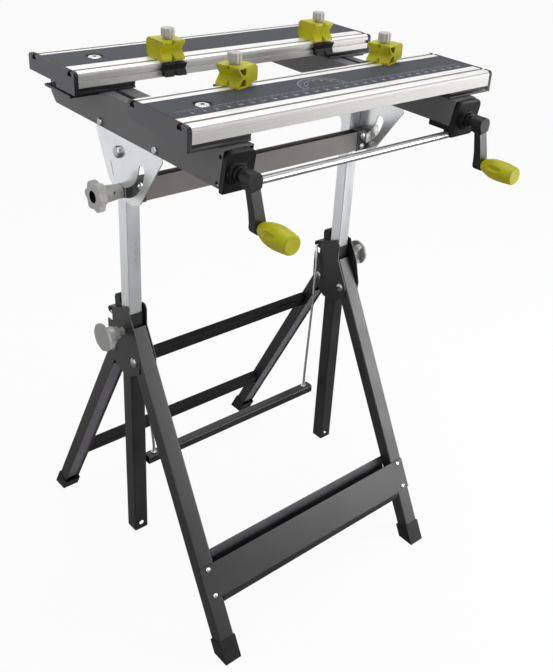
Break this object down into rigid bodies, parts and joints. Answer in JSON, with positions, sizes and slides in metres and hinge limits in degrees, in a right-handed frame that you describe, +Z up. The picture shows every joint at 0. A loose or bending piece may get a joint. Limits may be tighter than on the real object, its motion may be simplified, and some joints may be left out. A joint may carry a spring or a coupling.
{
  "type": "folding workbench",
  "caption": "Folding workbench: clamping table of two slotted aluminium jaws on screw rails, tilting on telescoping columns with folding splayed legs and sliding clamp dogs.",
  "frame": {"origin": "on the floor, under the middle of the whole bench's box", "axes": "+Z up, +X along the jaws to the right as seen from the cranks, -Y towards the cranks"},
  "size_m": [0.6146, 0.6846, 1.0202],
  "materials": {
    "satin_aluminium": "satin extruded",
    "charcoal_panel": "fine matt laminate",
    "black_plastic": "moulded",
    "charcoal_paint": "semi-gloss powder coat",
    "bright_zinc": "zinc plated",
    "brown_grey_paint": "semi-gloss",
    "grey_plastic": "moulded",
    "lime_plastic": "moulded",
    "bright_chrome": "polished"
  },
  "bodies": {
    "stand": {"sleeve_left": "charcoal_paint", "sleeve_right": "charcoal_paint", "gusset_left": "charcoal_paint", "gusset_right": "charcoal_paint"},
    "front_legs": {"front_leg_left": "charcoal_paint", "front_leg_right": "charcoal_paint", "front_foot_left": "black_plastic", "front_foot_right": "black_plastic", "front_tray": "charcoal_paint"},
    "rear_legs": {"rear_leg_left": "charcoal_paint", "rear_leg_right": "charcoal_paint", "rear_foot_left": "black_plastic", "rear_foot_right": "black_plastic", "rear_upper_bar": "charcoal_paint", "rear_lower_bar": "charcoal_paint"},
    "lift": {"column_left": "bright_zinc", "column_right": "bright_zinc", "cross_beam": "brown_grey_paint"},
    "treadle": {"treadle_bar": "charcoal_paint", "release_rod_left": "bright_zinc", "release_rod_right": "bright_zinc"},
    "table": {"rail_left": "charcoal_paint", "rail_right": "charcoal_paint", "tilt_bracket_left": "bright_zinc", "tilt_bracket_right": "bright_zinc", "front_jaw": "satin_aluminium", "front_panel": "charcoal_panel", "front_shoe_left": "black_plastic", "front_shoe_right": "black_plastic", "screw_housing_left": "black_plastic", "screw_housing_right": "black_plastic", "tie_rod": "bright_chrome"},
    "moving_jaw": {"rear_jaw": "satin_aluminium", "rear_panel": "charcoal_panel", "rear_shoe_left": "black_plastic", "rear_shoe_right": "black_plastic"},
    "left_crank": {"vise_screw_left": "bright_zinc", "crank_left": "black_plastic"},
    "left_grip": {"crank_grip_left": "lime_plastic"},
    "left_tilt_knob": {"tilt_knob_left": "grey_plastic"},
    "left_height_knob": {"height_knob_left": "grey_plastic"},
    "right_crank": {"vise_screw_right": "bright_zinc", "crank_right": "black_plastic"},
    "right_grip": {"crank_grip_right": "lime_plastic"},
    "right_tilt_knob": {"tilt_knob_right": "grey_plastic"},
    "right_height_knob": {"height_knob_right": "grey_plastic"},
    "left_latch": {"latch_left": "black_plastic"},
    "right_latch": {"latch_right": "black_plastic"},
    "rear_left_dog": {"dog_block_rear_left": "lime_plastic", "dog_pad_rear_left": "black_plastic"},
    "rear_left_dog_knob": {"dog_knob_rear_left": "grey_plastic"},
    "rear_right_dog": {"dog_block_rear_right": "lime_plastic", "dog_pad_rear_right": "black_plastic"},
    "rear_right_dog_knob": {"dog_knob_rear_right": "grey_plastic"},
    "front_left_dog": {"dog_block_front_left": "lime_plastic", "dog_pad_front_left": "black_plastic"},
    "front_left_dog_knob": {"dog_knob_front_left": "grey_plastic"},
    "front_right_dog": {"dog_block_front_right": "lime_plastic", "dog_pad_front_right": "black_plastic"},
    "front_right_dog_knob": {"dog_knob_front_right": "grey_plastic"}
  },
  "joints": [
    {"name": "front_legs_fold", "type": "hinge", "parent": "stand", "child": "front_legs", "pos_m": [0, -0.00139, 0.489], "axis": [1, 0, 0], "range_deg": [0, 28]},
    {"name": "rear_legs_fold", "type": "hinge", "parent": "stand", "child": "rear_legs", "pos_m": [0, 0.06461, 0.489], "axis": [-1, 0, 0], "range_deg": [0, 28]},
    {"name": "height_slide", "type": "slide", "parent": "stand", "child": "lift", "axis": [0, 0, 1], "range_m": [-0.16, 0.06]},
    {"name": "table_tilt", "type": "hinge", "parent": "lift", "child": "table", "pos_m": [0, 0.03161, 0.853], "axis": [1, 0, 0], "range_deg": [0, 75]},
    {"name": "moving_jaw_slide", "type": "slide", "parent": "table", "child": "moving_jaw", "axis": [0, 1, 0], "range_m": [-0.115, 0.025]},
    {"name": "left_crank_turn", "type": "hinge", "parent": "table", "child": "left_crank", "pos_m": [-0.237, -0.26839, 0.904], "axis": [0, -1, 0], "range_deg": [-8290, 1810]},
    {"name": "right_crank_turn", "type": "hinge", "parent": "table", "child": "right_crank", "pos_m": [0.237, -0.26839, 0.904], "axis": [0, -1, 0], "range_deg": [-8290, 1810]},
    {"name": "left_grip_spin", "type": "hinge", "parent": "left_crank", "child": "left_grip", "pos_m": [-0.22484, -0.30939, 0.83506], "axis": [0, -1, 0], "continuous": true},
    {"name": "left_tilt_knob_turn", "type": "hinge", "parent": "lift", "child": "left_tilt_knob", "pos_m": [-0.28, 0.03161, 0.789], "axis": [-1, 0, 0], "continuous": true},
    {"name": "left_height_knob_turn", "type": "hinge", "parent": "stand", "child": "left_height_knob", "pos_m": [-0.28, 0.03161, 0.536], "axis": [-1, 0, 0], "continuous": true},
    {"name": "right_grip_spin", "type": "hinge", "parent": "right_crank", "child": "right_grip", "pos_m": [0.24915, -0.30939, 0.83506], "axis": [0, -1, 0], "continuous": true},
    {"name": "right_tilt_knob_turn", "type": "hinge", "parent": "lift", "child": "right_tilt_knob", "pos_m": [0.28, 0.03161, 0.789], "axis": [1, 0, 0], "continuous": true},
    {"name": "right_height_knob_turn", "type": "hinge", "parent": "stand", "child": "right_height_knob", "pos_m": [0.28, 0.03161, 0.536], "axis": [1, 0, 0], "continuous": true},
    {"name": "treadle_press", "type": "slide", "parent": "stand", "child": "treadle", "axis": [0, 0, -1], "range_m": [0, 0.008], "stiffness_N_per_m": 600, "springref_m": -0.02},
    {"name": "left_latch_turn", "type": "hinge", "parent": "stand", "child": "left_latch", "pos_m": [-0.241, 0.05561, 0.56], "axis": [-1, 0, 0], "range_deg": [0, 22]},
    {"name": "right_latch_turn", "type": "hinge", "parent": "stand", "child": "right_latch", "pos_m": [0.241, 0.05561, 0.56], "axis": [-1, 0, 0], "range_deg": [0, 22]},
    {"name": "rear_left_dog_slide", "type": "slide", "parent": "moving_jaw", "child": "rear_left_dog", "axis": [1, 0, 0], "range_m": [-0.06, 0.06]},
    {"name": "rear_left_dog_knob_turn", "type": "hinge", "parent": "rear_left_dog", "child": "rear_left_dog_knob", "pos_m": [-0.136, 0.07701, 1.01], "axis": [0, 0, 1], "continuous": true},
    {"name": "rear_right_dog_slide", "type": "slide", "parent": "moving_jaw", "child": "rear_right_dog", "axis": [1, 0, 0], "range_m": [-0.06, 0.06]},
    {"name": "rear_right_dog_knob_turn", "type": "hinge", "parent": "rear_right_dog", "child": "rear_right_dog_knob", "pos_m": [0.182, 0.07701, 1.01], "axis": [0, 0, 1], "continuous": true},
    {"name": "front_left_dog_slide", "type": "slide", "parent": "table", "child": "front_left_dog", "axis": [1, 0, 0], "range_m": [-0.06, 0.06]},
    {"name": "front_left_dog_knob_turn", "type": "hinge", "parent": "front_left_dog", "child": "front_left_dog_knob", "pos_m": [-0.136, -0.09399, 1.01], "axis": [0, 0, 1], "continuous": true},
    {"name": "front_right_dog_slide", "type": "slide", "parent": "table", "child": "front_right_dog", "axis": [1, 0, 0], "range_m": [-0.06, 0.06]},
    {"name": "front_right_dog_knob_turn", "type": "hinge", "parent": "front_right_dog", "child": "front_right_dog_knob", "pos_m": [0.174, -0.09399, 1.01], "axis": [0, 0, 1], "continuous": true}
  ],
  "couplings": [
    {"joint": "left_crank_turn", "follows": "moving_jaw_slide", "rad_per_m": 1256.6},
    {"joint": "right_crank_turn", "follows": "moving_jaw_slide", "rad_per_m": 1256.6},
    {"joint": "left_latch_turn", "follows": "treadle_press", "rad_per_m": 46.8},
    {"joint": "right_latch_turn", "follows": "treadle_press", "rad_per_m": 46.8}
  ]
}
